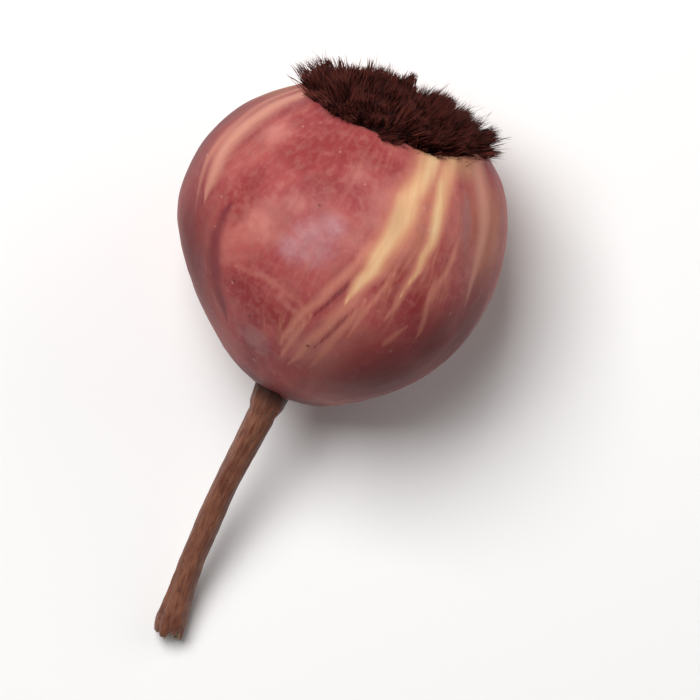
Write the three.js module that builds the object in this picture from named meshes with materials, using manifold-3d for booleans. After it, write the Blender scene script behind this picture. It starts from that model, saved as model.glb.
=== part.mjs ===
// A hawthorn berry, picked with its own stalk and lying on its side, in millimetres with +Z up.
// X runs from the stalk to the crown. The origin is the middle of the small flat spot that the berry rests on.
// The berry is a round fruit drawn in a little towards its stalk, with a dish at the other end.
// A dense tuft of bristles, the dried remains of the flower, fills the dish. The stalk stands in a plain hole.
import * as THREE from "three";
import { mergeVertices } from "three/addons/utils/BufferGeometryUtils.js";
import Module from "manifold-3d";

const wasm = await Module();
wasm.setup();

// Driving dimensions
const BERRY_DIAMETER = 22;
const CROWN_MOUTH_DIAMETER = 12.6; // across the crest of the lip
const STALK_DIAMETER = 1.7;
const STALK_TOP_DIAMETER = 2.5; // where it flares into the berry
const STALK_END_DIAMETER = 2.3; // the swollen picked end
const STALK_REACH = 18.6; // from the berry's foot to the picked end, in plan
const BRISTLE_THICKNESS = 0.32;
const BRISTLE_SHOWING = 1.35; // how far a bristle stands out of the tuft's core
const BRISTLE_SUNK = 0.55;
const BRISTLE_COUNT = 350;
const AXIS_TILT = THREE.MathUtils.degToRad(14); // the crown end is raised, the stalk end lowered
const FLAT_SPOT_DEPTH = 0.2; // how much the underside is flattened where it rests
const GAP = 0.3; // clearance between pieces that meet
const SEED = 20;

const R = BERRY_DIAMETER / 2;
const MOUTH = CROWN_MOUTH_DIAMETER / BERRY_DIAMETER;

const MATERIALS = {
  berry: new THREE.MeshStandardMaterial({ color: 0xa85350, roughness: 0.42, metalness: 0 }),
  crown: new THREE.MeshStandardMaterial({ color: 0x3a1714, roughness: 0.8, metalness: 0 }),
  stalk: new THREE.MeshStandardMaterial({ color: 0x764d3e, roughness: 0.5, metalness: 0 }),
};

// A repeatable stream of numbers from 0 to 1.
function randomStream(seed) {
  let state = seed;
  return () => {
    state = (state + 0x6d2b79f5) | 0;
    let t = Math.imul(state ^ (state >>> 15), 1 | state);
    t = (t + Math.imul(t ^ (t >>> 7), 61 | t)) ^ t;
    return ((t ^ (t >>> 14)) >>> 0) / 4294967296;
  };
}

// Turns a closed geometry into a solid, and a solid back into a geometry with flat faces.
function toSolid(geometry) {
  const bare = geometry.clone();
  bare.deleteAttribute("normal");
  bare.deleteAttribute("uv");
  const merged = mergeVertices(bare, 1e-4);
  return new wasm.Manifold(
    new wasm.Mesh({
      numProp: 3,
      vertProperties: merged.attributes.position.array,
      triVerts: new Uint32Array(merged.index.array),
    }),
  );
}

function toGeometry(solid) {
  const mesh = solid.getMesh();
  const geometry = new THREE.BufferGeometry();
  geometry.setAttribute("position", new THREE.BufferAttribute(mesh.vertProperties, 3));
  geometry.setIndex(new THREE.BufferAttribute(mesh.triVerts, 1));
  const flat = geometry.toNonIndexed();
  flat.computeVertexNormals();
  return flat;
}

function moveVertices(geometry, move) {
  const position = geometry.attributes.position;
  const point = new THREE.Vector3();
  for (let i = 0; i < position.count; i++) {
    point.fromBufferAttribute(position, i);
    move(point);
    position.setXYZ(i, point.x, point.y, point.z);
  }
  return geometry;
}

// The berry's own frame has +Y along its axis from stalk to crown, +Z sideways, and its centre at the origin.
const crownDirection = new THREE.Vector3(Math.cos(AXIS_TILT), 0, Math.sin(AXIS_TILT));
const sideways = new THREE.Vector3(0, 1, 0);
const upward = new THREE.Vector3().crossVectors(crownDirection, sideways);
const berryFrame = new THREE.Group();
berryFrame.setRotationFromMatrix(new THREE.Matrix4().makeBasis(upward, crownDirection, sideways));

// Half of the berry's section as an outline of (distance from the axis, height along it), in berry radii.
// It starts at the stalk's end, swells to the middle, closes in to the crown's lip and turns down into the dish.
const STALK_END_HEIGHT = -1.02;
const LIP_HEIGHT = 0.79;
const DISH_FLOOR = 0.63;
function berryOutline() {
  const outline = new THREE.Path();
  outline.moveTo(0, STALK_END_HEIGHT);
  outline.bezierCurveTo(0.22, STALK_END_HEIGHT, 0.41, -0.935, 0.56, -0.815);
  outline.bezierCurveTo(0.85, -0.57, 1.0, -0.33, 1.0, 0);
  outline.bezierCurveTo(1.0, 0.29, 0.88, 0.56, MOUTH + 0.07, LIP_HEIGHT - 0.045);
  outline.quadraticCurveTo(MOUTH + 0.01, LIP_HEIGHT + 0.02, MOUTH - 0.035, LIP_HEIGHT - 0.02);
  outline.quadraticCurveTo(MOUTH - 0.07, DISH_FLOOR + 0.02, MOUTH - 0.16, DISH_FLOOR);
  outline.lineTo(0, DISH_FLOOR);
  return outline;
}

// Lets a turned shape grow like a fruit. The belly leans sideways, the ends slant so that one side is longer
// than the other, and faint lobes run from end to end. The crown grows the same way, so it stays clear of the
// dish it stands in.
function growUneven(point) {
  const height = point.y / R;
  const angle = Math.atan2(point.x, point.z);
  const belly = Math.max(0, 1 - height * height);
  const lobes = 0.008 * Math.cos(3 * angle + 0.7) + 0.006 * Math.cos(5 * angle + 2.1 + height);
  const { smoothstep } = THREE.MathUtils;
  const slant = 0.06 * (smoothstep(height, 0, 0.7) - smoothstep(-height, 0, 0.7));
  point.x *= 1 + belly * lobes;
  point.z *= 1 + belly * lobes;
  point.y -= slant * point.z;
  point.z += 0.03 * R * belly;
}

const BERRY_SIDES = 56;
const OUTLINE_POINTS = 8; // points on each curved stretch of the outline
const STALK_HOLE_DEPTH = 1.6;
const STALK_TOP_RADIUS = STALK_TOP_DIAMETER / 2;

function slabBelow(height) {
  const slab = new THREE.BoxGeometry(8 * R, 8 * R, R);
  slab.translate(0, 0, height - R / 2);
  return slab;
}

// The berry is flattened a little where it rests. The frame is then moved so that the middle of the flat spot
// is the part's origin.
function berryGeometry() {
  const points = berryOutline()
    .getPoints(OUTLINE_POINTS)
    .map((p) => new THREE.Vector2(p.x * R, p.y * R));
  const turned = moveVertices(new THREE.LatheGeometry(points, BERRY_SIDES), growUneven);
  const hole = new THREE.CylinderGeometry(STALK_TOP_RADIUS + GAP, STALK_TOP_RADIUS + GAP, 2 * STALK_HOLE_DEPTH, 20);
  hole.translate(0, STALK_END_HEIGHT * R, 0);
  const holed = toGeometry(toSolid(turned).subtract(toSolid(hole)));
  berryFrame.updateMatrixWorld(true);
  const lying = holed.applyMatrix4(berryFrame.matrixWorld);
  lying.computeBoundingBox();
  const restHeight = lying.boundingBox.min.z + FLAT_SPOT_DEPTH;
  const flattened = toGeometry(toSolid(lying).subtract(toSolid(slabBelow(restHeight))));
  const flatSpot = new THREE.Box3();
  const position = flattened.attributes.position;
  const point = new THREE.Vector3();
  for (let i = 0; i < position.count; i++) {
    point.fromBufferAttribute(position, i);
    if (Math.abs(point.z - restHeight) < 1e-4) flatSpot.expandByPoint(point);
  }
  const middle = flatSpot.getCenter(new THREE.Vector3());
  flattened.applyMatrix4(berryFrame.matrixWorld.clone().invert());
  berryFrame.position.set(-middle.x, -middle.y, -restHeight);
  berryFrame.updateMatrixWorld(true);
  return flattened;
}

// The tuft's core is a cushion that fills the dish and domes up over the lip. Its height is given by the share
// of the way out from the axis to its edge.
const CORE_RADIUS = (MOUTH - 0.045) * R - GAP;
const CORE_BASE = DISH_FLOOR * R + GAP;
const CORE_SIDE_TOP = LIP_HEIGHT * R - 0.1;
const CORE_DOME = 1.75;
function coreHeight(share) {
  return CORE_SIDE_TOP + CORE_DOME * (1 - share ** 2.6);
}

// One bristle is a three-sided spike that stands on the origin along +Y and bends a little towards its tip.
function bristleGeometry(length, bend) {
  const spike = new THREE.ConeGeometry(BRISTLE_THICKNESS / 2, length, 3, 2);
  spike.translate(0, length / 2, 0);
  return moveVertices(spike, (point) => {
    point.x += bend * (point.y / length) ** 2;
  });
}

// The bristles stand in the core in the sunflower's spiral, and lean outward more towards the edge.
// Their lengths and leanings vary, and one in twelve strays half as far again.
const GOLDEN_ANGLE = Math.PI * (3 - Math.sqrt(5));
function crownGeometry() {
  const random = randomStream(SEED);
  const outline = new THREE.Path();
  outline.moveTo(0, CORE_BASE);
  outline.lineTo(CORE_RADIUS - 1.3, CORE_BASE);
  outline.lineTo(CORE_RADIUS - 0.25, CORE_BASE + 0.5);
  for (const share of [1, 0.93, 0.84, 0.72, 0.56, 0.36, 0]) {
    outline.lineTo(share * CORE_RADIUS, coreHeight(share));
  }
  const core = toSolid(new THREE.LatheGeometry(outline.getPoints(1), 30));
  const spikes = [];
  for (let i = 0; i < BRISTLE_COUNT; i++) {
    const share = Math.sqrt((i + 0.5) / BRISTLE_COUNT);
    const radius = share * (CORE_RADIUS - 0.35);
    const angle = i * GOLDEN_ANGLE;
    const lean = THREE.MathUtils.degToRad(44 * share ** 2 + 22 * (random() - 0.5));
    const swing = angle + 0.7 * (random() - 0.5);
    const stray = i % 12 === 5 ? 1.5 : 1;
    const length = BRISTLE_SUNK + BRISTLE_SHOWING * stray * (0.7 + 0.6 * random());
    const spike = bristleGeometry(length, 0.5 * (random() - 0.5));
    spike.rotateY(2 * Math.PI * random());
    spike.rotateZ(-lean);
    spike.rotateY(-swing);
    spike.translate(radius * Math.cos(angle), coreHeight(share) - BRISTLE_SUNK, radius * Math.sin(angle));
    spikes.push(toSolid(spike));
  }
  return moveVertices(toGeometry(wasm.Manifold.union([core, ...spikes])), growUneven);
}

// The stalk's half section along its length has a flared top, a slim waist and a swollen picked end.
const STALK_WAIST = STALK_DIAMETER / 2;
const STALK_END_RADIUS = STALK_END_DIAMETER / 2;
function stalkOutline(length) {
  const outline = new THREE.Path();
  outline.moveTo(0, 0);
  outline.lineTo(STALK_TOP_RADIUS, 0);
  outline.lineTo(STALK_TOP_RADIUS, 1.5);
  outline.bezierCurveTo(STALK_TOP_RADIUS, 2.7, STALK_WAIST * 1.1, 3, STALK_WAIST * 1.04, 5.4);
  outline.bezierCurveTo(STALK_WAIST * 0.98, 0.5 * length, STALK_WAIST * 0.94, 0.6 * length, STALK_WAIST * 0.96, 0.72 * length);
  outline.bezierCurveTo(STALK_WAIST, 0.86 * length, STALK_END_RADIUS * 0.9, length - 2.4, STALK_END_RADIUS, length - 1);
  outline.quadraticCurveTo(STALK_END_RADIUS * 1.05, length - 0.3, STALK_END_RADIUS * 0.75, length);
  outline.lineTo(0, length);
  return outline;
}

// Carries a turned shape along a curve, so that its height becomes the way along the curve.
function bendAlong(geometry, curve) {
  const length = curve.getLength();
  return moveVertices(geometry, (point) => {
    const share = THREE.MathUtils.clamp(point.y / length, 0, 1);
    const along = curve.getTangentAt(share);
    const across = new THREE.Vector3().crossVectors(along, sideways).normalize();
    const aside = new THREE.Vector3().crossVectors(across, along);
    const centre = curve.getPointAt(share);
    point.copy(centre.addScaledVector(across, point.x).addScaledVector(aside, point.z));
  });
}

// The stalk leaves the berry along its axis and comes down so that the underside of its picked end rests.
function stalkCurve() {
  const foot = berryFrame.localToWorld(new THREE.Vector3(0, STALK_END_HEIGHT * R, 0));
  return new THREE.CatmullRomCurve3([
    foot.clone().addScaledVector(crownDirection, STALK_HOLE_DEPTH - GAP),
    foot.clone().addScaledVector(crownDirection, -3.2),
    new THREE.Vector3(foot.x - 0.45 * STALK_REACH, foot.y + 0.25, 5.1),
    new THREE.Vector3(foot.x - 0.76 * STALK_REACH, foot.y, 2.7),
    new THREE.Vector3(foot.x - STALK_REACH, foot.y - 0.5, STALK_END_RADIUS - 0.3),
  ]);
}

function stalkGeometry() {
  const curve = stalkCurve();
  const points = stalkOutline(curve.getLength()).getPoints(6);
  const bent = bendAlong(new THREE.LatheGeometry(points, 16), curve);
  const underSurface = slabBelow(0);
  underSurface.translate(-2 * R, 0, 0);
  return toGeometry(toSolid(bent).subtract(toSolid(underSurface)));
}

function piece(name, geometry) {
  const mesh = new THREE.Mesh(geometry, MATERIALS[name]);
  mesh.name = name;
  return mesh;
}

berryFrame.add(piece("berry", berryGeometry()), piece("crown", crownGeometry()));

const hawthornBerry = new THREE.Group();
hawthornBerry.add(berryFrame, piece("stalk", stalkGeometry()));

export default hawthornBerry;
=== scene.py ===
"""A hawthorn berry, picked with its own stalk and lying on its side on a pale floor.

The skin, the crown's tuft and the stalk are surfaces worked out as whole arrays, in millimetres. The skin
and the tuft are made in the berry's own frame: up from the axis, along it from stalk to crown, and sideways.
"""
from math import comb

import bpy
import numpy as np
from mathutils import Matrix


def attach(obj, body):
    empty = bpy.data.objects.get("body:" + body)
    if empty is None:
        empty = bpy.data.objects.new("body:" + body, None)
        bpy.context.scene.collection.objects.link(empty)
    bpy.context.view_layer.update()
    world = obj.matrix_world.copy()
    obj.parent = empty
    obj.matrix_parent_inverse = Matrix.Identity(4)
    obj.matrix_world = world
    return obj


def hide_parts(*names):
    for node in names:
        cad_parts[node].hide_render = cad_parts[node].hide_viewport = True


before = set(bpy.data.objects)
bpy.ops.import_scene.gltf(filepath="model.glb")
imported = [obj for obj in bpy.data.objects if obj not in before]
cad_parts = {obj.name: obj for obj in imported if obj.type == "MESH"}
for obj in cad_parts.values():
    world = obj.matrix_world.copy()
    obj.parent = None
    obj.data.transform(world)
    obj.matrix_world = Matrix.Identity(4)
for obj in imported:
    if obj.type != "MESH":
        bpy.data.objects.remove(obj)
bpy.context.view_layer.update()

MM = 0.001

# The part's own sizes, in millimetres, apart from the mouth's radius and three heights, in berry radii
RADIUS = 11.0
MOUTH = 0.5727
LIP_HEIGHT = 0.79
DISH_FLOOR = 0.63
STALK_END_HEIGHT = -1.02
BERRY_CENTRE = np.array([-0.1744, -0.0168, 10.7981])
AXIS_TILT = np.radians(14)
STALK_RADIUS = 0.85
STALK_TOP_RADIUS = 1.25
STALK_END_RADIUS = 1.15
STALK_REACH = 18.6

ALONG = np.array([np.cos(AXIS_TILT), 0.0, np.sin(AXIS_TILT)])
SIDEWAYS = np.array([0.0, 1.0, 0.0])
UPWARD = np.cross(ALONG, SIDEWAYS)
GOLDEN_ANGLE = np.pi * (3 - np.sqrt(5))


# Shapes

def bezier(controls, count=60):
    """Points on a curve between control points, each weighted by its Bernstein polynomial."""
    t = np.linspace(0, 1, count)[:, None]
    degree = len(controls) - 1
    weights = [comb(degree, k) * (1 - t) ** (degree - k) * t**k for k in range(degree + 1)]
    return sum(weight * np.array(point, float) for weight, point in zip(weights, controls))


def evenly(path, count):
    """The same path with evenly spaced points, interpolated over the distance along it."""
    steps = np.linalg.norm(np.diff(path, axis=0), axis=1)
    way = np.concatenate([[0], np.cumsum(steps)])
    even = np.linspace(0, way[-1], count)
    return np.column_stack([np.interp(even, way, column) for column in path.T])


def ripple(points, wavelength, seed, waves=28):
    """Smooth noise of about unit height: the sum of sine waves in seeded directions, near one wavelength."""
    rng = np.random.default_rng(seed)
    ways = rng.normal(size=(waves, 3))
    ways /= np.linalg.norm(ways, axis=1, keepdims=True)
    ways *= 2 * np.pi / (wavelength * rng.uniform(0.6, 1.7, (waves, 1)))
    phases = rng.uniform(0, 2 * np.pi, waves)
    return np.sin(points @ ways.T + phases).sum(axis=-1) * np.sqrt(2 / waves)


def smooth_step(low, high, value):
    """0 below low, 1 above high, and a smooth rise between them."""
    share = np.clip((value - low) / (high - low), 0, 1)
    return share * share * (3 - 2 * share)


def bell(value, middle, width):
    """1 at the middle, falling off on both sides as a Gaussian: 1/e at one width from it."""
    return np.exp(-(((value - middle) / width) ** 2))


def all_round(columns):
    """Evenly spaced angles of a full turn, in a row."""
    return np.linspace(-np.pi, np.pi, columns, endpoint=False)[None, :]


def turned(far, height, angle):
    """An outline turned about the axis: each distance from the axis is carried round at its height."""
    return np.stack([far * np.cos(angle), height + 0 * angle, far * np.sin(angle)], axis=-1)


def surface_normals(rings):
    """Unit normals of a ring surface: the cross product of its steps around and its steps along."""
    around = np.roll(rings, -1, axis=1) - np.roll(rings, 1, axis=1)
    along = np.gradient(rings, axis=0)
    normals = np.cross(around, along)
    return normals / np.maximum(np.linalg.norm(normals, axis=2, keepdims=True), 1e-9)


def with_ends(rings):
    """A ring surface's points in one list, with the middles of its first and last ring after them."""
    return np.vstack([rings.reshape(-1, rings.shape[-1]), rings[0].mean(axis=0), rings[-1].mean(axis=0)])


def to_row(points):
    """Takes points from the berry's frame (up, along, sideways) to the part's frame."""
    return BERRY_CENTRE + points[..., 0:1] * UPWARD + points[..., 1:2] * ALONG + points[..., 2:3] * SIDEWAYS


def ring_faces(rows, columns):
    """The quads between neighbouring rings, and the triangles that close both ends on one point each. The
    points are numbered ring by ring, with the two end points after them."""
    i, j = np.meshgrid(np.arange(rows - 1), np.arange(columns), indexing="ij")
    a, b = i * columns + j, i * columns + (j + 1) % columns
    quads = np.stack([a, b, b + columns, a + columns], axis=-1).reshape(-1, 4)
    side = np.arange(columns)
    after = (side + 1) % columns
    start, end = rows * columns, rows * columns + 1
    last = (rows - 1) * columns
    low = np.column_stack([np.full(columns, start), after, side])
    high = np.column_stack([np.full(columns, end), last + side, last + after])
    return quads, np.vstack([low, high])


def make_piece(name, points, quads, triangles, values, material, node, slot):
    """Makes a mesh piece from points in millimetres, with its per-point values, in place of a CAD node."""
    mesh = bpy.data.meshes.new(name)
    mesh.from_pydata((points * MM).tolist(), [], quads.tolist() + triangles.tolist())
    for key, value in values.items():
        vector = value.ndim == 2
        layer = mesh.attributes.new(key, "FLOAT_VECTOR" if vector else "FLOAT", "POINT")
        layer.data.foreach_set("vector" if vector else "value", value.astype(np.float32).ravel())
    mesh.shade_smooth()
    mesh.materials.append(material)
    piece = bpy.data.objects.new(name, mesh)
    bpy.context.scene.collection.objects.link(piece)
    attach(piece, "root")
    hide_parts(node)


# Materials

PER_MM = (1000, 1000, 1000)  # turns metres to millimetres, so that a texture's scale is in grains per mm


def linear(hex_colour):
    """Turns an sRGB hex value into the linear colour that a shader takes."""
    channels = np.array([int(hex_colour[i : i + 2], 16) for i in (1, 3, 5)]) / 255
    curved = ((channels + 0.055) / 1.055) ** 2.4
    return (*np.where(channels <= 0.04045, channels / 12.92, curved), 1.0)


def add(tree, kind, out, inputs={}, stops=(), **settings):
    """Adds a shader node and gives its output named out. inputs holds each socket's value, or the output that
    feeds it, and stops are a colour ramp's positions and hex colours."""
    made = tree.nodes.new("ShaderNode" + kind)
    for name, value in settings.items():
        setattr(made, name, value)
    for name, value in inputs.items():
        if isinstance(value, bpy.types.NodeSocket):
            tree.links.new(value, made.inputs[name])
        else:
            made.inputs[name].default_value = value
    for position, _ in stops[2:]:
        made.color_ramp.elements.new(position)
    for k, (position, colour) in enumerate(stops):
        made.color_ramp.elements[k].position = position
        made.color_ramp.elements[k].color = linear(colour)
    return made.outputs[out]


def new_material(name):
    """A material with a Principled shader."""
    material = bpy.data.materials.new(name)
    material.use_nodes = True
    tree = material.node_tree
    return material, tree, tree.nodes["Principled BSDF"]


def paint(tree, under, layers):
    """Paints layers over a colour, one after another. Each layer is its colour, the mark that it follows, a
    noise that makes its edge uneven, how far the noise moves the mark's value, the values where the layer
    starts and where it is full, and its strength there."""
    for over, mark, uneven, spread, low, high, strength in layers:
        if isinstance(over, str):
            over = linear(over)
        if isinstance(mark, str):
            mark = add(tree, "Attribute", "Fac", attribute_name=mark)
        moved = add(tree, "Math", "Value", {0: uneven, 1: spread, 2: mark}, operation="MULTIPLY_ADD")
        start, full = low + spread / 2, high + spread / 2
        edge = {"Value": moved, "From Min": start, "From Max": full, "To Max": strength}
        amount = add(tree, "MapRange", "Result", edge, interpolation_type="SMOOTHSTEP")
        under = add(tree, "Mix", "Result", {"Factor": amount, "A": under, "B": over}, data_type="RGBA")
    return under


def waxy_marbled_skin():
    """Fruit skin: flesh marbled rose, crimson, cream and mauve under thin wax, so a soft satin highlight."""
    material, tree, shader = new_material("waxy_marbled_skin")
    shader.inputs["IOR"].default_value = 1.45
    shader.inputs["Specular IOR Level"].default_value = 0.13

    # Noises with grains of about 5, 2 and 0.6 mm
    place = add(tree, "TexCoord", "Object")
    in_mm = add(tree, "Mapping", "Vector", {"Vector": place, "Scale": PER_MM})
    marble = add(tree, "TexNoise", "Fac", {"Vector": in_mm, "Scale": 0.2, "Detail": 4.0, "Distortion": 0.6})
    blotch = add(tree, "TexNoise", "Fac", {"Vector": in_mm, "Scale": 0.55, "Detail": 4.0, "Roughness": 0.6})
    mottle = add(tree, "TexNoise", "Fac", {"Vector": in_mm, "Scale": 1.6, "Detail": 3.0, "Roughness": 0.6})

    # Strands up to 2 mm wide and threads up to 0.7 mm run from the crown to the stalk, and wander a little
    drift = add(tree, "TexNoise", "Color", {"Vector": in_mm, "Scale": 0.13, "Detail": 1.0})
    meridian = add(tree, "Attribute", "Vector", attribute_name="meridian")
    wander = {0: drift, 1: (0.3, 0.3, 0.3), 2: meridian}
    way = add(tree, "VectorMath", "Vector", wander, operation="MULTIPLY_ADD")
    wide_way = add(tree, "Mapping", "Vector", {"Vector": way, "Scale": (6.0, 0.7, 6.0)})
    fine_way = add(tree, "Mapping", "Vector", {"Vector": way, "Scale": (15.0, 0.9, 15.0)})
    strand = add(tree, "TexNoise", "Fac", {"Vector": wide_way, "Scale": 1.0, "Detail": 4.0, "Roughness": 0.6})
    thread = add(tree, "TexNoise", "Fac", {"Vector": fine_way, "Scale": 1.0, "Detail": 3.0, "Roughness": 0.6})

    # Colours that vary within a layer
    flesh = [(0.32, "#883439"), (0.45, "#9b4446"), (0.57, "#a95350"), (0.7, "#ba6e64")]
    fleshy = add(tree, "ValToRGB", "Color", {"Fac": marble}, flesh)
    smoke = [(0.32, "#7c4a50"), (0.5, "#986668"), (0.68, "#ab8281")]
    smoky = add(tree, "ValToRGB", "Color", {"Fac": blotch}, smoke)
    # Pale mauve for the painted highlight
    highlight_stops = [(0.35, "#b07074"), (0.65, "#b3898f")]
    highlight_tint = add(tree, "ValToRGB", "Color", {"Fac": mottle}, highlight_stops)
    cream = [(0.34, "#d7a17a"), (0.48, "#e1b488"), (0.62, "#e7c596")]
    creamy = add(tree, "ValToRGB", "Color", {"Fac": strand}, cream)

    # Pores 0.2 mm across and rarer, larger specks
    pores = add(tree, "TexVoronoi", "Distance", {"Vector": in_mm, "Scale": 0.85})
    pore = add(tree, "MapRange", "Result", {"Value": pores, "From Min": 0.16, "From Max": 0.04})
    specks = add(tree, "TexVoronoi", "Distance", {"Vector": in_mm, "Scale": 0.42})
    speck = add(tree, "MapRange", "Result", {"Value": specks, "From Min": 0.09, "From Max": 0.05})

    colour = paint(tree, fleshy, [
        # Fields of crimson, salmon and amber
        ("#8c3335", "deep", blotch, 1.2, -0.2, 0.8, 0.85),
        ("#c27d74", "salmon", mottle, 0.8, -0.2, 1.1, 0.6),
        ("#c47c5c", "amber", strand, 1.2, -0.1, 0.9, 0.6),
        # Translucent mauve-grey patches, some with a nearly crisp edge, and on top a pale mauve painted
        # highlight where the key light's reflection falls
        (smoky, "cool", mottle, 1.2, 0.0, 0.7, 0.62),
        (highlight_tint, "bloom", blotch, 0.9, 0.0, 0.8, 0.75),
        # Mottling at 0.6 and 2 mm, faint strands all over, and clear threads where the marks say so
        ("#c98479", mottle, blotch, 0.4, 0.38, 0.78, 0.36),
        ("#742a2f", blotch, mottle, 0.5, 0.42, 0.8, 0.42),
        ("#7f2f31", strand, thread, 0.3, 0.5, 0.75, 0.35),
        ("#c77d6c", thread, strand, 0.3, 0.5, 0.8, 0.3),
        ("#85302f", "streaky", strand, 2.6, 0.6, 1.4, 0.5),
        ("#c9886c", "streaky", thread, 2.6, 0.7, 1.5, 0.45),
        # Streaks: dark lines first, then tan and peach bands, and cream with a salmon and an orange border
        ("#6a2430", "dark", blotch, 0.8, -0.6, 0.9, 0.68),
        ("#ca836f", "tan", strand, 0.8, -0.6, 1.1, 0.75),
        ("#d1907c", "peach", strand, 0.8, -0.5, 1.0, 0.85),
        ("#c8806d", "cream", strand, 1.0, -1.3, 0.3, 0.6),
        ("#d0936f", "cream", thread, 0.6, -0.5, 0.6, 0.75),
        (creamy, "cream", strand, 0.8, -0.1, 1.0, 0.85),
        # Ochre by the lip, a few green spots, thin scars, pale pores and dark specks
        ("#bd946c", "ochre", strand, 1.0, -0.2, 1.0, 0.5),
        ("#a8ad3a", "lime", mottle, 1.4, 0.1, 0.6, 0.75),
        ("#c67f70", "scar", mottle, 1.6, -0.1, 1.3, 0.42),
        ("#d29585", pore, blotch, 3.0, 0.4, 1.4, 0.6),
        ("#5a2b29", speck, blotch, 2.0, 0.9, 1.1, 0.6),
        # Painted shade: deep maroon towards the stalk and the far sides, and dark brown in the recesses
        # inside the mouth, along the lip and round the stalk
        ("#611416", "dusk", marble, 0.7, -0.15, 0.95, 0.88),
        ("#3c1a17", "inside", mottle, 0.3, 0.3, 0.9, 1.0),
    ])

    gloss = add(tree, "MapRange", "Result", {"Value": mottle, "To Min": 0.38, "To Max": 0.56})
    relief = add(tree, "Bump", "Normal", {"Height": mottle, "Strength": 0.14, "Distance": 0.00012})
    grain = add(tree, "TexNoise", "Fac", {"Vector": in_mm, "Scale": 6.0, "Detail": 2.0})
    skin_grain = {"Height": grain, "Strength": 0.1, "Distance": 0.00004, "Normal": relief}
    tree.links.new(colour, shader.inputs["Base Color"])
    tree.links.new(gloss, shader.inputs["Roughness"])
    tree.links.new(add(tree, "Bump", "Normal", skin_grain), shader.inputs["Normal"])
    return material


def dried_bristle():
    """Dried flower bristle: dry fibre, so nearly no gloss, dark maroon and paler brown towards the tips."""
    material, tree, shader = new_material("dried_bristle")
    shader.inputs["Specular IOR Level"].default_value = 0.12
    shade = add(tree, "Attribute", "Fac", attribute_name="shade")
    maroon = [(0.0, "#180605"), (0.5, "#2c0e0b"), (0.85, "#401612"), (1.0, "#5c2a23")]
    body = add(tree, "ValToRGB", "Color", {"Fac": shade}, maroon)
    colour = paint(tree, body, [("#75382e", "toward_tip", shade, 0.5, 0.6, 1.15, 0.6)])
    rough = add(tree, "MapRange", "Result", {"Value": shade, "To Min": 0.55, "To Max": 0.8})
    tree.links.new(colour, shader.inputs["Base Color"])
    tree.links.new(rough, shader.inputs["Roughness"])
    return material


def smooth_brown_bark():
    """Young bark: thin and fibrous with a slight sheen, so fine grain along the stalk and soft highlights."""
    material, tree, shader = new_material("smooth_brown_bark")
    shader.inputs["Specular IOR Level"].default_value = 0.25

    # Fibres 0.2 mm wide and 1 mm long, and blotches of 2 mm
    place = add(tree, "TexCoord", "Object")
    in_mm = add(tree, "Mapping", "Vector", {"Vector": place, "Scale": PER_MM})
    way = add(tree, "Attribute", "Vector", attribute_name="grain_way")
    along = add(tree, "Mapping", "Vector", {"Vector": way, "Scale": (5.0, 5.0, 0.9)})
    fibre = add(tree, "TexNoise", "Fac", {"Vector": along, "Scale": 1.0, "Detail": 5.0, "Roughness": 0.65})
    blotch = add(tree, "TexNoise", "Fac", {"Vector": in_mm, "Scale": 0.55, "Detail": 3.0})

    bark = [(0.28, "#552e24"), (0.46, "#744838"), (0.6, "#865742"), (0.78, "#a06f58")]
    colour = add(tree, "ValToRGB", "Color", {"Fac": fibre}, bark)
    colour = paint(tree, colour, [
        ("#5e3025", blotch, fibre, 0.4, 0.45, 0.75, 0.5),
        ("#9c6c56", blotch, fibre, 0.6, 0.3, 0.15, 0.4),
    ])

    # Dark pits 0.15 mm across, painted shade on the collar where the stalk goes into the berry, and pale
    # splinters on the torn face
    pits = add(tree, "TexVoronoi", "Distance", {"Vector": in_mm, "Scale": 1.3})
    pit = add(tree, "MapRange", "Result", {"Value": pits, "From Min": 0.14, "From Max": 0.05, "To Max": 0.7})
    pitted = {"Factor": pit, "A": colour, "B": linear("#3c211a")}
    colour = add(tree, "Mix", "Result", pitted, data_type="RGBA")
    splinter = add(tree, "ValToRGB", "Color", {"Fac": fibre}, [(0.3, "#6b4630"), (0.7, "#b89870")])
    colour = paint(tree, colour, [
        ("#43261e", "collar", fibre, 0.3, 0.1, 0.9, 0.9),
        (splinter, "torn", fibre, 0.2, 0.2, 0.8, 1.0),
    ])

    rough = add(tree, "MapRange", "Result", {"Value": fibre, "To Min": 0.36, "To Max": 0.58})
    relief = add(tree, "Bump", "Normal", {"Height": fibre, "Strength": 0.5, "Distance": 0.00008})
    tree.links.new(colour, shader.inputs["Base Color"])
    tree.links.new(rough, shader.inputs["Roughness"])
    tree.links.new(relief, shader.inputs["Normal"])
    return material


def pale_floor():
    """White painted board: even and matt."""
    material, tree, shader = new_material("pale_floor")
    shader.inputs["Base Color"].default_value = linear("#f4f3f2")
    shader.inputs["Roughness"].default_value = 0.7
    return material


# The berry's skin

END_SLANT = 0.06  # how far each end is moved along the axis, for each millimetre to one side
BELLY_LEAN = 0.03 * RADIUS
LIP_SWELL = 0.38  # at one side of the lip, in mm
LIP_SWELL_ANGLE = -1.15
FAN_SQUEEZE = 0.22  # heights are squeezed by this, so that puckers run from stalk to crown
MERIDIAN_STRETCH = 4.5  # and stretched by this again for the strands
SCAR_WIDTH = 0.45  # half its width, in mm
OUTSIDE = -3.0  # a mark's value far outside it


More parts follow.
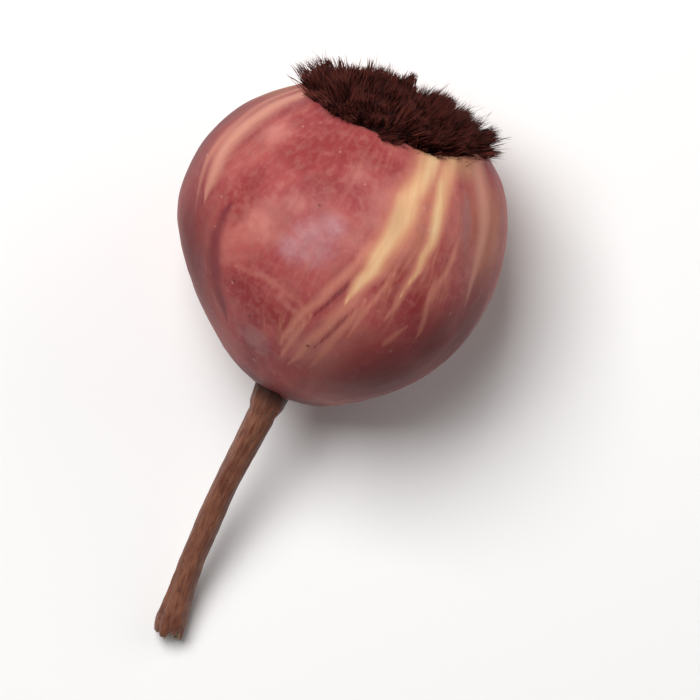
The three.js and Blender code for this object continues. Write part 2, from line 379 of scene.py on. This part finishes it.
def grow_uneven(points):
    """Lets a turned shape grow like a fruit, as in the part's source. Faint lobes scale it about its axis,
    both ends slant so that one side is longer than the other, and the belly leans sideways."""
    up, along, side = points[..., 0], points[..., 1], points[..., 2]
    height = along / RADIUS
    angle = np.arctan2(up, side)
    belly = np.maximum(0, 1 - height**2)
    lobes = 0.008 * np.cos(3 * angle + 0.7) + 0.006 * np.cos(5 * angle + 2.1 + height)
    up = up * (1 + belly * lobes)
    side = side * (1 + belly * lobes)
    along = along - END_SLANT * (smooth_step(0, 0.7, height) - smooth_step(0, 0.7, -height)) * side
    return np.stack([up, along, side + BELLY_LEAN * belly], axis=-1)


def berry_outline(count):
    """Half the berry's section as (distance from the axis, height), in radii: a small cavity round the stalk,
    the belly, the crown's lip, and the dish under the tuft."""
    foot = STALK_END_HEIGHT
    shoulder = (MOUTH + 0.07, LIP_HEIGHT - 0.045)
    inner_lip = (MOUTH - 0.035, LIP_HEIGHT - 0.02)
    dish_edge = (MOUTH - 0.16, DISH_FLOOR)
    parts = [
        bezier([(0.02, foot + 0.1), (0.1, foot + 0.1), (0.108, foot + 0.06), (0.118, foot + 0.012)]),
        bezier([(0.118, foot + 0.012), (0.135, foot - 0.012), (0.19, foot - 0.004)]),
        bezier([(0.19, foot - 0.004), (0.31, foot + 0.01), (0.45, -0.905), (0.56, -0.815)]),
        bezier([(0.56, -0.815), (0.85, -0.57), (1.0, -0.33), (1.0, 0.0)]),
        bezier([(1.0, 0.0), (1.0, 0.29), (0.88, 0.56), shoulder]),
        bezier([shoulder, (MOUTH + 0.01, LIP_HEIGHT + 0.02), inner_lip]),
        bezier([inner_lip, (MOUTH - 0.07, DISH_FLOOR + 0.02), dish_edge]),
        bezier([dish_edge, (0.02, DISH_FLOOR)]),
    ]
    return evenly(np.vstack(parts), count)


def turn_from(angle, middle):
    """How many degrees an angle in radians lies from a middle in degrees, the short way round."""
    return (np.degrees(angle) - middle + 180) % 360 - 180


def streaks(angle, height, marks):
    """How far inside any of the streaks a point lies: 1 on the middle line, 0 at the edge, negative outside.
    The middle line and the half width run straight between a streak's rows. Past its ends the value fades."""
    inside = np.full(angle.shape, OUTSIDE)
    latitude_radius = RADIUS * np.sqrt(np.maximum(1 - height**2, 0.05))
    for mark in marks:
        heights, angles, widths = np.array(mark, float).T
        middle = np.interp(height, heights, angles)
        width = np.interp(height, heights, widths)
        across = np.abs(np.radians(turn_from(angle, middle))) * latitude_radius
        past = np.maximum(np.maximum(heights[0] - height, height - heights[-1]), 0) * RADIUS
        inside = np.maximum(inside, 1 - (across + past) / width)
    return inside


def patches(angle, height, marks):
    """How far inside any of the oval patches a point lies: 1 in the middle, 0 at the edge, less outside."""
    inside = np.full(angle.shape, OUTSIDE)
    latitude = np.arcsin(np.clip(height, -1, 1))
    for middle, level, across, along in marks:
        sideways = np.radians(turn_from(angle, middle)) * RADIUS * np.cos(latitude) / across
        lengthways = (latitude - np.arcsin(level)) * RADIUS / along
        inside = np.maximum(inside, 1 - np.hypot(sideways, lengthways))
    return inside


# A streak is a list of (height in radii, angle from the top in degrees, half width in mm), stalk end first.
STREAKS = {
    "cream": [
        [(-0.16, -12, 0.04), (-0.06, -13, 0.25), (0.03, -14, 0.48), (0.11, -16, 0.6), (0.2, -16, 0.72),
         (0.3, -18, 0.8), (0.38, -19, 0.85), (0.46, -20, 0.9), (0.55, -20, 0.95), (0.63, -23, 0.9),
         (0.71, -26, 0.9), (0.78, -28, 1.0), (0.86, -31, 1.0)],
        [(0.0, -29, 0.04), (0.1, -30, 0.12), (0.19, -32, 0.25), (0.28, -32, 0.35), (0.36, -34, 0.42),
         (0.44, -34, 0.5), (0.51, -34, 0.55), (0.58, -35, 0.6), (0.66, -36, 0.65), (0.74, -40, 0.7),
         (0.86, -48, 0.7)],
        [(-0.1, 132, 0.05), (0.15, 128, 0.7), (0.4, 124, 1.2), (0.62, 119, 1.5), (0.86, 116, 1.1)],
        [(0.1, 150, 0.05), (0.35, 147, 0.5), (0.6, 146, 0.6), (0.86, 146, 0.5)],
        [(-0.5, -118, 0.05), (-0.2, -122, 0.6), (0.1, -126, 0.8), (0.4, -131, 0.9), (0.86, -140, 0.7)],
    ],
    "tan": [
        [(-0.2, -27, 0.04), (-0.06, -29, 0.22), (0.01, -29, 0.32), (0.11, -30, 0.38), (0.28, -32, 0.45),
         (0.44, -34, 0.55), (0.58, -35, 0.7), (0.74, -40, 0.8), (0.86, -48, 0.9)],
        [(-0.62, 4, 0.05), (-0.51, 3, 0.2), (-0.39, 1, 0.3), (-0.28, -1, 0.34), (-0.18, -4, 0.4),
         (-0.06, -6, 0.42), (0.02, -8, 0.4), (0.12, -10, 0.36), (0.26, -12, 0.2)],
        [(-0.72, -3, 0.05), (-0.6, -6, 0.28), (-0.46, -7, 0.4), (-0.35, -10, 0.45), (-0.25, -11, 0.48),
         (-0.12, -14, 0.5), (-0.01, -15, 0.5), (0.1, -16, 0.45), (0.24, -18, 0.3)],
        [(-0.67, -13, 0.05), (-0.51, -14, 0.3), (-0.35, -15, 0.3), (-0.2, -17, 0.22),
         (-0.07, -18, 0.05)],
        [(-0.71, 2, 0.05), (-0.56, 0, 0.24), (-0.4, -2, 0.2), (-0.27, -4, 0.05)],
        [(-0.34, -19, 0.05), (-0.23, -19, 0.2), (-0.12, -20, 0.22), (0.02, -22, 0.2),
         (0.16, -24, 0.05)],
        [(-0.01, -42, 0.06), (0.04, -42, 0.18), (0.13, -42, 0.24), (0.22, -44, 0.24), (0.3, -45, 0.26),
         (0.42, -46, 0.06)],
        [(-0.32, -33, 0.06), (-0.28, -33, 0.3), (-0.2, -35, 0.26), (-0.13, -38, 0.06)],
        [(-0.21, -44, 0.06), (-0.16, -44, 0.2), (-0.05, -42, 0.24), (0.08, -40, 0.2),
         (0.19, -40, 0.06)],
        [(-0.16, 57, 0.04), (-0.06, 60, 0.15), (0.04, 63, 0.35), (0.16, 67, 0.5), (0.3, 70, 0.55),
         (0.43, 73, 0.55), (0.56, 77, 0.55), (0.68, 79, 0.5), (0.85, 80, 0.4)],
        [(-0.45, 118, 0.05), (-0.2, 121, 0.25), (0.05, 119, 0.05)],
        [(-0.4, 141, 0.05), (-0.1, 139, 0.2), (0.2, 136, 0.05)],
        [(-0.55, -135, 0.05), (-0.2, -140, 0.25), (0.2, -146, 0.05)],
        [(-0.3, -80, 0.05), (-0.05, -84, 0.3), (0.25, -90, 0.3), (0.6, -99, 0.05)],
    ],
    "dark": [
        [(-0.38, -2, 0.05), (-0.22, -6, 0.16), (-0.12, -8, 0.2), (-0.04, -10, 0.18), (0.08, -12, 0.14),
         (0.19, -15, 0.05)],
        [(-0.5, -10, 0.05), (-0.38, -12, 0.2), (-0.25, -14, 0.2), (-0.14, -16, 0.05)],
        [(-0.66, 34, 0.1), (-0.51, 37, 0.8), (-0.35, 40, 0.8), (-0.17, 42, 0.6), (0.0, 42, 0.4),
         (0.1, 41, 0.05)],
        [(-0.3, 108, 0.1), (0.0, 106, 0.4), (0.3, 105, 0.3), (0.5, 104, 0.05)],
        [(-0.2, -158, 0.1), (0.1, -156, 0.5), (0.4, -155, 0.4), (0.6, -155, 0.05)],
    ],
    "peach": [
        [(0.02, -62, 0.05), (0.17, -60, 0.4), (0.32, -60, 0.6), (0.46, -62, 0.8), (0.61, -63, 0.9),
         (0.74, -64, 1.0), (0.86, -70, 1.0)],
        [(-0.05, 54, 0.04), (0.03, 56, 0.35), (0.1, 57, 0.7), (0.18, 59, 0.9), (0.28, 62, 1.0),
         (0.38, 64, 1.1), (0.49, 66, 1.1), (0.59, 67, 1.0), (0.67, 68, 0.9), (0.75, 68, 0.75),
         (0.85, 70, 0.6)],
        [(-0.55, 172, 0.05), (-0.3, 170, 0.8), (0.0, 171, 0.9), (0.3, 174, 0.6), (0.55, 176, 0.05)],
        [(-0.7, -88, 0.05), (-0.4, -92, 0.7), (-0.1, -96, 0.8), (0.3, -101, 0.5), (0.6, -104, 0.05)],
    ],
}

# A patch is (angle from the top in degrees, height in radii, half its size across and along in mm).
PATCHES = {
    "ochre": [
        (-50, 0.76, 1.9, 1.3), (-18, 0.42, 0.7, 1.6), (95, 0.7, 2.0, 2.2), (-130, 0.75, 3.0, 1.5),
        (118, 0.78, 3.0, 1.6),
    ],
    "amber": [
        (-29, 0.45, 2.4, 4.0), (-68, 0.46, 4.0, 4.6), (128, 0.3, 4.0, 5.0), (-126, 0.2, 3.0, 6.0),
    ],
    "cool": [
        (16, -0.67, 2.0, 1.6), (50, -0.43, 1.3, 2.2), (-50, 0.5, 0.8, 2.2), (98, 0.05, 3.0, 3.4),
        (-128, -0.35, 3.2, 2.6), (170, 0.5, 2.4, 2.0), (-85, -0.1, 1.6, 2.2), (140, -0.6, 2.2, 1.6),
    ],
    # Painted highlight: pale mauve patches at the middle of the upper side, where the key light's reflection
    # falls
    "bloom": [
        (7, 0.11, 2.3, 2.5), (3, 0.24, 1.4, 1.5), (13, 0.03, 1.4, 1.5),
    ],
    # Painted shade: deep maroon darkening towards the stalk and on the sides, where less light falls
    "dusk": [
        (-50, -0.52, 7.5, 6.0), (-56, -0.26, 4.4, 4.4), (-74, -0.2, 5.0, 6.0), (-30, -0.99, 9.0, 4.6),
        (60, -0.4, 4.2, 7.0), (94, 0.2, 4.5, 8.0), (180, -0.3, 8.0, 6.0),
    ],
    "deep": [
        (26, 0.6, 3.8, 3.0), (10, 0.7, 3.0, 2.0), (14, 0.46, 1.8, 1.6), (39, 0.13, 1.8, 2.6),
        (26, -0.36, 2.0, 1.8), (12, -0.42, 2.2, 1.5), (-23, 0.12, 0.9, 2.2), (-36, 0.0, 1.4, 2.4),
        (75, -0.1, 3.0, 5.0), (-110, 0.2, 4.0, 4.0), (155, 0.1, 3.0, 4.0),
    ],
    "salmon": [
        (3, 0.58, 1.1, 1.1), (-9, 0.5, 1.5, 2.2), (-9, 0.38, 1.2, 1.6), (25, 0.13, 1.8, 2.4),
        (20, 0.27, 1.5, 1.1), (-5, 0.22, 1.5, 1.7), (-13, -0.5, 2.8, 2.6), (-24, 0.35, 1.2, 3.0),
        (49, 0.56, 2.0, 1.6), (-47, 0.45, 1.7, 3.6), (-58, 0.3, 1.8, 2.6), (-74, 0.4, 1.6, 3.4),
        (120, 0.5, 3.5, 3.5), (-140, 0.3, 3.0, 4.0), (175, -0.1, 2.5, 4.0),
    ],
    "streaky": [
        (-34, 0.1, 7.5, 9.0), (62, 0.4, 3.0, 6.0), (125, 0.4, 5.0, 8.0), (-125, 0.2, 5.0, 9.0),
        (-2, -0.45, 5.0, 4.0),
    ],
    "lime": [
        (137, -0.3, 1.2, 1.0), (-152, 0.42, 0.9, 1.2), (112, 0.45, 0.8, 0.9),
    ],
}

# A scar is a thin line through points of (angle from the top in degrees, height in radii).
SCARS = [
    [(28, -0.25), (22, -0.23), (16, -0.225), (10, -0.23), (4, -0.25), (0, -0.27)],
    [(9, -0.3), (3, -0.33), (-2, -0.37)],
    [(-80, 0.1), (-86, -0.02), (-90, -0.1), (-91, -0.2)],
    [(118, -0.1), (124, -0.06), (130, 0.03), (134, 0.12)],
    [(-150, 0.1), (-154, 0.05), (-158, 0.02)],
]


def scars(angle, height):
    """How near a point lies to any scar: 1 on its line, 0 at its edge, negative outside. The distance is to
    the nearest point of each stretch of the line, with both on a ball of the berry's radius."""
    def on_ball(turn, level):
        return turned(np.sqrt(np.maximum(1 - np.square(level), 0)), level, turn) * RADIUS

    points = on_ball(angle, np.clip(height, -1, 1))
    nearest = np.full(angle.shape, RADIUS)
    for line in SCARS:
        turns, levels = np.array(line, float).T
        corners = on_ball(np.radians(turns), levels)
        for start, end in zip(corners, corners[1:]):
            stretch = end - start
            share = np.clip((points - start) @ stretch / (stretch @ stretch), 0, 1)
            gap = np.linalg.norm(points - start - share[..., None] * stretch, axis=-1)
            nearest = np.minimum(nearest, gap)
    return np.maximum(1 - nearest / SCAR_WIDTH, OUTSIDE)


def berry_skin(rows=250, columns=320):
    """The skin: the outline turned about the axis and grown uneven, then moved along its normals by shallow
    undulations and by puckers that fan out from the lip and the stalk. The lip is wavy and has a swell on one
    side. The underside is flattened where it rests, by keeping every point at or above the floor."""
    outline = evenly(berry_outline(4000), rows)
    far, height = outline[:, :1], outline[:, 1:]
    angle = all_round(columns)
    grown = grow_uneven(turned(far, height, angle) * RADIUS)
    fan = turned(np.ones_like(far), FAN_SQUEEZE * height, angle)
    row = np.arange(rows)[:, None]
    crest = outline[:, 1].argmax()
    outer = row <= crest
    near_lip = np.where(outer, bell(height, LIP_HEIGHT, 0.17), 0.6)
    near_stalk = bell(far, 0.12, 0.16) * (height < 0)
    lift = 0.03 * ripple(grown, wavelength=7.0, seed=11) + 0.01 * ripple(grown, wavelength=2.2, seed=12)
    lip_puckers = 0.04 * ripple(fan, wavelength=0.36, seed=13) + 0.02 * ripple(fan, wavelength=0.16, seed=14)
    stalk_puckers = 0.06 * ripple(fan, wavelength=0.5, seed=15)
    lift = lift + near_lip * lip_puckers + near_stalk * stalk_puckers
    skin = grown + surface_normals(grown) * lift[..., None]
    waves = 0.06 * ripple(fan * [1, 0, 1], wavelength=0.9, seed=16)
    swell = LIP_SWELL * bell(angle, LIP_SWELL_ANGLE, 0.45)
    skin[..., 1] += bell(far, MOUTH, 0.1) * (height > 0.5) * (waves + swell)
    skin = to_row(skin)
    skin[..., 2] = np.maximum(skin[..., 2], 0)

    # Painted shade: 1 in the dish under the tuft and in the hollow round the stalk, and a thin dark line of
    # painted shadow along the lip's crest
    inside = np.where(outer, 0, 1.0) + bell(far, 0.1, 0.05) * (height < -0.8)
    inside = inside + 0.45 * bell(row, crest, 5.0)
    flat_angle = angle + 0 * far
    flat_height = height + 0 * angle
    values = {"meridian": fan * [1, MERIDIAN_STRETCH, 1], "inside": inside + 0 * angle}
    for name, marks in STREAKS.items():
        values[name] = streaks(flat_angle, flat_height, marks)
    values["scar"] = scars(flat_angle, flat_height)
    for name, marks in PATCHES.items():
        values[name] = patches(flat_angle, flat_height, marks)
    for name, value in values.items():
        vector = value.ndim == 3
        values[name] = with_ends(value) if vector else with_ends(value[..., None])[:, 0]
    return with_ends(skin), *ring_faces(rows, columns), values


# The crown's tuft. Heights are along the berry's axis from its middle, in mm.

CORE_EDGE = (MOUTH - 0.045) * RADIUS
CORE_FLOOR = 7.2
CORE_RIM = 8.3
CORE_TOP = 10.1
CORE_SHADE = 0.05
ROOT_HEIGHT = 7.9  # where the bristles are rooted at the rim
ROOT_DOME = 0.3  # how much higher they are rooted in the middle
BRISTLE_LENGTH = 2.75
BRISTLE_SIDES = 3
BRISTLE_TAPER = 0.72
FLARE = 1.8  # the power of its length by which a bristle flares outward
STRAYS = 0.06  # their share of the bristles
RIM_LEAN = np.radians(58)  # how far the bristles lean outward at the rim
CLUMP_LEAN = np.radians(13)  # how much the clumps' leans vary
LOOSE_LEAN = np.radians(5)  # how much the bristles' own leans vary
MOST_LEAN = np.radians(63)


def tuft_core(rows=36, columns=120):
    """The matted roots of the tuft: a low dome that fills the mouth to its wall, roughened by ripples."""
    wall = (CORE_EDGE - 0.4, ROOT_HEIGHT)
    brow = (CORE_EDGE - 1.3, 9.3)
    outline = evenly(np.vstack([
        bezier([(0.3, CORE_FLOOR), (3.0, CORE_FLOOR), (CORE_EDGE - 1.1, CORE_FLOOR + 0.05), wall]),
        bezier([wall, (CORE_EDGE - 0.1, CORE_RIM), (CORE_EDGE - 0.3, 8.75), brow]),
        bezier([brow, (3.0, CORE_TOP - 0.1), (1.5, CORE_TOP), (0.2, CORE_TOP)]),
    ]), rows)
    far, height = outline[:, :1], outline[:, 1:]
    core = turned(far, height, all_round(columns))
    core[..., 1] += 0.12 * ripple(core, wavelength=0.9, seed=21) * (height > 8.0)
    points = with_ends(to_row(grow_uneven(core)))
    values = {"shade": np.full(len(points), CORE_SHADE), "toward_tip": np.zeros(len(points))}
    return points, *ring_faces(rows, columns), values


def tuft_bristles(count, seed, thick, looseness, rings=4, clumps=130):
    """Thousands of bristles, each a three-sided taper. They stand in the sunflower's spiral, rise evenly
    along the axis and flare outward as a power of their length, most at the rim. Each belongs to the nearest
    clump. A clump has a lean, a swing and a length of its own, and its bristles' tips are drawn towards its
    leader's. Strays are longer and bend more. thick is the range of radii in mm, and looseness scales how far
    the bristles bend and scatter."""
    rng = np.random.default_rng(seed)
    index = np.arange(count)
    share = np.sqrt((index + 0.5) / count)
    angle = index * GOLDEN_ANGLE + rng.normal(0, 0.02, count)
    far = share * (CORE_EDGE - 0.2)
    height = ROOT_HEIGHT + ROOT_DOME * (1 - share**2)
    root = np.column_stack([far * np.cos(angle), height, far * np.sin(angle)])

    leader = rng.choice(count, clumps, replace=False)
    distance = np.linalg.norm(root[:, None, ::2] - root[None, leader, ::2], axis=2)
    owner = distance.argmin(axis=1)
    stray = rng.random(count) < STRAYS
    loose = np.where(stray, 2.0, 1.0) * looseness
    clump_lean = rng.normal(0, 1, clumps)[owner] * CLUMP_LEAN * (1 - 0.4 * share)
    lean = RIM_LEAN * share**2.6 + clump_lean
    lean = np.minimum(lean + LOOSE_LEAN * loose * rng.normal(size=count), MOST_LEAN)
    swing = angle + rng.normal(0, 0.3, clumps)[owner] + 0.12 * loose * rng.normal(size=count)
    way = np.column_stack([np.sin(lean) * np.cos(swing), np.cos(lean), np.sin(lean) * np.sin(swing)])
    clump_length = rng.uniform(0.72, 1.3, clumps)[owner]
    length = (BRISTLE_LENGTH - 0.2 * share**3) * clump_length * rng.uniform(0.7, 1.05, count)
    length = np.where(stray, length * rng.uniform(1.0, 1.3, count), length)
    tip = root + way * length[:, None]
    pull = np.where(stray, 0.2, rng.uniform(0.5, 0.9, count) / np.sqrt(looseness))[:, None]
    tip = tip + (tip[leader][owner] - tip) * pull

    straight = tip - root
    ahead = straight / np.linalg.norm(straight, axis=1, keepdims=True)
    across = np.cross(ahead, rng.normal(size=(count, 3)))
    across /= np.linalg.norm(across, axis=1, keepdims=True)
    beside = np.cross(ahead, across)
    bow = rng.normal(0, 0.14, (count, 1)) * loose[:, None]
    hook = rng.normal(0, 0.2, (count, 1)) * loose[:, None]
    thick = rng.uniform(*thick, count)
    t = np.linspace(0, 0.86, rings)[None, :, None]

    def centre(t):
        bend = across[:, None] * bow[:, None] * np.sin(np.pi * t) + beside[:, None] * hook[:, None] * t**2
        return root[:, None] + straight[:, None] * np.where(np.arange(3) == 1, t, t**FLARE) + bend

    sides = BRISTLE_SIDES
    corner = (np.arange(sides) * 2 * np.pi / sides)[None, None, :, None]
    around = across[:, None, None] * np.cos(corner) + beside[:, None, None] * np.sin(corner)
    taper = thick[:, None, None, None] * (1 - BRISTLE_TAPER * t[..., None])
    body = centre(t)[:, :, None] + around * taper
    end = centre(np.ones((1, 1, 1)))
    points = np.concatenate([body.reshape(count, rings * sides, 3), end], axis=1)
    each = rings * sides + 1

    i, j = np.meshgrid(np.arange(rings - 1), np.arange(sides), indexing="ij")
    a, b = i * sides + j, i * sides + (j + 1) % sides
    quad = np.stack([a, b, b + sides, a + sides], axis=-1).reshape(-1, 4)
    side = np.arange(sides)
    last = (rings - 1) * sides
    tip_cap = np.column_stack([last + side, last + (side + 1) % sides, np.full(sides, each - 1)])
    root_cap = [[0, 2, 1]]
    closed = np.vstack([tip_cap, root_cap])
    start = index[:, None, None] * each
    quads = (quad[None] + start).reshape(-1, 4)
    triangles = (closed[None] + start).reshape(-1, 3)
    placed = to_row(grow_uneven(points)).reshape(-1, 3)
    toward_tip = np.append(np.repeat(t.ravel(), sides), 1.0)
    values = {
        "shade": np.repeat(rng.random(count), each),
        "toward_tip": np.tile(toward_tip, count),
    }
    return placed, quads, triangles, values


# The stalk

COLLAR_END = 3.5  # how far along the stalk its flared collar ends
RIDGE_STRETCH = 9.0  # how much longer than wide its ridges are
KNUCKLE_STRETCH = 2.2
RAGGED_DEPTH = 0.55


def stalk_path(count):
    """The stalk's middle line, a smooth curve through the same points as in the part's source: each stretch
    is a cubic whose end slopes are the centripetal Catmull-Rom ones."""
    foot = BERRY_CENTRE + STALK_END_HEIGHT * RADIUS * ALONG
    knots = np.array([
        foot + 1.3 * ALONG,
        foot - 3.2 * ALONG,
        [foot[0] - 0.45 * STALK_REACH, foot[1] + 0.25, 5.1],
        [foot[0] - 0.76 * STALK_REACH, foot[1], 2.7],
        [foot[0] - STALK_REACH, foot[1] - 0.5, STALK_END_RADIUS - 0.3],
    ])
    padded = np.vstack([2 * knots[0] - knots[1], knots, 2 * knots[-1] - knots[-2]])
    stretches = []
    for p0, p1, p2, p3 in zip(padded, padded[1:], padded[2:], padded[3:]):
        d0, d1, d2 = (np.sqrt(np.linalg.norm(b - a)) for a, b in ((p0, p1), (p1, p2), (p2, p3)))
        leave = ((p1 - p0) / d0 - (p2 - p0) / (d0 + d1) + (p2 - p1) / d1) * d1
        arrive = ((p2 - p1) / d1 - (p3 - p1) / (d1 + d2) + (p3 - p2) / d2) * d1
        stretches.append(bezier([p1, p1 + leave / 3, p2 - arrive / 3, p2], 200))
    return evenly(np.vstack(stretches), count)


def stalk_radius(way, length):
    """The stalk's radius along its length: flared at the berry, slim, and swollen at the picked end."""
    top, slim, end = STALK_TOP_RADIUS, STALK_RADIUS, STALK_END_RADIUS
    below_collar = (5.4, slim + 0.035)
    above_end = (0.72 * length, slim - 0.035)
    outline = np.vstack([
        bezier([(0, top - 0.05), (1.5, top)], 10),
        bezier([(1.5, top), (2.7, top), (3.0, slim + 0.09), below_collar]),
        bezier([below_collar, (0.5 * length, slim - 0.015), (0.6 * length, slim - 0.05), above_end]),
        bezier([above_end, (0.86 * length, slim), (length - 2.4, end - 0.12), (length - 1, end)]),
        bezier([(length - 1, end), (length - 0.3, end + 0.05), (length, end - 0.1)]),
    ])
    return np.interp(way, outline[:, 0], outline[:, 1])


def stalk(rows=330, columns=72, end_rows=12):
    """The stalk: rings carried along its path. Ridges run along it, knuckles swell it here and there, and its
    picked end is torn: the rim is ragged and the face is sunk and splintered."""
    path = stalk_path(rows)
    length = np.linalg.norm(np.diff(path, axis=0), axis=1).sum()
    way = np.linspace(0, length, rows)
    tangents = np.gradient(path, axis=0)
    tangents /= np.linalg.norm(tangents, axis=1, keepdims=True)
    across = np.cross(tangents, SIDEWAYS)
    across /= np.linalg.norm(across, axis=1, keepdims=True)
    aside = np.cross(across, tangents)
    angle = all_round(columns)[0]

    def unrolled(run):
        """A point for each place on the bark: (cosine, sine) of its angle, and a run along the stalk."""
        return np.stack(np.broadcast_arrays(np.cos(angle)[None], np.sin(angle)[None], run[:, None]), axis=-1)

    fan = unrolled(way / RIDGE_STRETCH)
    ridges = 0.035 * ripple(fan, wavelength=0.9, seed=41)
    ridges = ridges + 0.018 * ripple(fan * [1, 1, 2], wavelength=0.35, seed=42)
    lumps = 0.03 * ripple(fan * [1, 1, RIDGE_STRETCH / KNUCKLE_STRETCH], wavelength=1.8, seed=43)
    creases = 0.04 * bell(way, COLLAR_END - 0.6, 0.35) - 0.05 * bell(way, COLLAR_END, 0.3)
    radius = stalk_radius(way, length)[:, None] * (1 + ridges + lumps) + creases[:, None]
    ring = across[:, None] * np.cos(angle)[None, :, None] + aside[:, None] * np.sin(angle)[None, :, None]
    rings = path[:, None] + ring * radius[..., None]

    # The rim of the torn end is pulled back unevenly, most on top
    ragged = RAGGED_DEPTH * (0.5 - 0.5 * np.cos(angle - 0.4))
    ragged = ragged + 0.16 * ripple(fan[-1], wavelength=0.5, seed=44)
    near_end = smooth_step(length - 2.0, length, way)[:, None]
    rings = rings - tangents[:, None] * (near_end * np.maximum(ragged, -0.1)[None])[..., None]

    # The torn face is the last ring, shrunk step by step to its middle
    shrink = np.linspace(1, 0.04, end_rows + 1)[1:, None]
    middle = rings[-1].mean(axis=0)
    face = middle + (rings[-1][None] - middle) * shrink[..., None]
    splinters = 0.16 * ripple(face, wavelength=0.35, seed=45) - 0.2 * (1 - shrink)
    face = face + tangents[-1] * (splinters * (1 - shrink**6))[..., None]
    rings = np.concatenate([rings, face])
    rings[..., 2] = np.maximum(rings[..., 2], 0)

    torn = np.concatenate([np.zeros((rows, columns)), np.ones((end_rows, columns))])
    # Painted shade on the collar, darkest where the stalk goes into the berry's hollow
    dark = 0.85 * (1 - smooth_step(1.6, COLLAR_END - 0.1, way))
    collar = np.concatenate([dark, np.zeros(end_rows)])[:, None] + 0 * angle
    grain = unrolled(np.concatenate([way, np.full(end_rows, length)]))
    values = {
        "grain_way": np.vstack([grain.reshape(-1, 3), [[0, 0, 0], [0, 0, length]]]),
        "torn": np.append(torn.ravel(), [0, 1]),
        "collar": np.append(collar.ravel(), [1, 0]),
    }
    quads, triangles = ring_faces(rows + end_rows, columns)
    return with_ends(rings), quads[:, ::-1], triangles[:, ::-1], values


# Camera, light and floor

VIEW_TURN = np.radians(-65)
RIGHT = np.array([np.cos(VIEW_TURN), np.sin(VIEW_TURN), 0])
TOP = np.array([-np.sin(VIEW_TURN), np.cos(VIEW_TURN), 0])
TOWARD = np.array([0.0, 0.0, 1.0])
AIM = BERRY_CENTRE * [1, 1, 0] + 0.4 * RIGHT - 7.6 * TOP
CAMERA_HEIGHT = 620
LENS = 470
SENSOR_WIDTH = 36
SOFTBOX_DISTANCE = 0.4  # metres
FLOOR_HALF = 1.5  # metres
FLOOR_DROP = 0.00002  # metres, so that the floor and the flat spot don't share a plane
SKY_STRENGTH = 0.11


def camera():
    """Looks straight down, turned so that the crown points to the upper right."""
    data = bpy.data.cameras.new("camera")
    data.lens = LENS
    data.sensor_width = SENSOR_WIDTH
    data.clip_start = 0.01
    holder = bpy.data.objects.new("camera", data)
    holder.location = (AIM + TOWARD * CAMERA_HEIGHT) * MM
    holder.rotation_euler = (0, 0, VIEW_TURN)
    bpy.context.scene.collection.objects.link(holder)
    bpy.context.scene.camera = holder


def softbox(name, right, top, toward, size, power):
    """A square white light in a direction given as seen from the camera, turned to face the berry. Its size
    is in metres and its power in watts."""
    data = bpy.data.lights.new(name, "AREA")
    data.size = size
    data.energy = power
    holder = bpy.data.objects.new(name, data)
    way = right * RIGHT + top * TOP + toward * TOWARD
    way /= np.linalg.norm(way)
    holder.location = BERRY_CENTRE * MM + way * SOFTBOX_DISTANCE
    ahead = -way
    side = np.cross(ahead, TOP)
    side /= np.linalg.norm(side)
    above = np.cross(side, ahead)
    holder.rotation_euler = Matrix(np.column_stack([side, above, way]).tolist()).to_euler()
    bpy.context.scene.collection.objects.link(holder)


def stage():
    """A white floor, a softbox from the upper left, a weak fill from the right, and an even pale sky."""
    half = FLOOR_HALF
    corners = [(-half, -half, 0), (half, -half, 0), (half, half, 0), (-half, half, 0)]
    mesh = bpy.data.meshes.new("floor")
    mesh.from_pydata(corners, [], [(0, 1, 2, 3)])
    mesh.materials.append(pale_floor())
    floor = bpy.data.objects.new("floor", mesh)
    floor.location.z = -FLOOR_DROP
    bpy.context.scene.collection.objects.link(floor)
    softbox("key_softbox", right=-0.25, top=0.36, toward=0.9, size=0.22, power=1.85)
    softbox("fill_softbox", right=0.75, top=0.35, toward=0.55, size=0.3, power=0.3)
    world = bpy.data.worlds.new("sky")
    world.use_nodes = True
    background = world.node_tree.nodes["Background"]
    background.inputs["Color"].default_value = (1, 1, 1, 1)
    background.inputs["Strength"].default_value = SKY_STRENGTH
    bpy.context.scene.world = world
    bpy.context.scene.view_settings.view_transform = "Standard"


camera()
stage()
make_piece("berry_skin", *berry_skin(), waxy_marbled_skin(), "berry", "skin")
bristle = dried_bristle()
stout = tuft_bristles(6000, seed=31, thick=(0.055, 0.1), looseness=1.0)
fine = tuft_bristles(8000, seed=32, thick=(0.025, 0.045), looseness=1.6)
make_piece("tuft_core", *tuft_core(), bristle, "crown", "bristle")
make_piece("tuft_bristles", *stout, bristle, "crown", "bristle")
make_piece("tuft_hairs", *fine, bristle, "crown", "bristle")
make_piece("bark_stalk", *stalk(), smooth_brown_bark(), "stalk", "stalk")
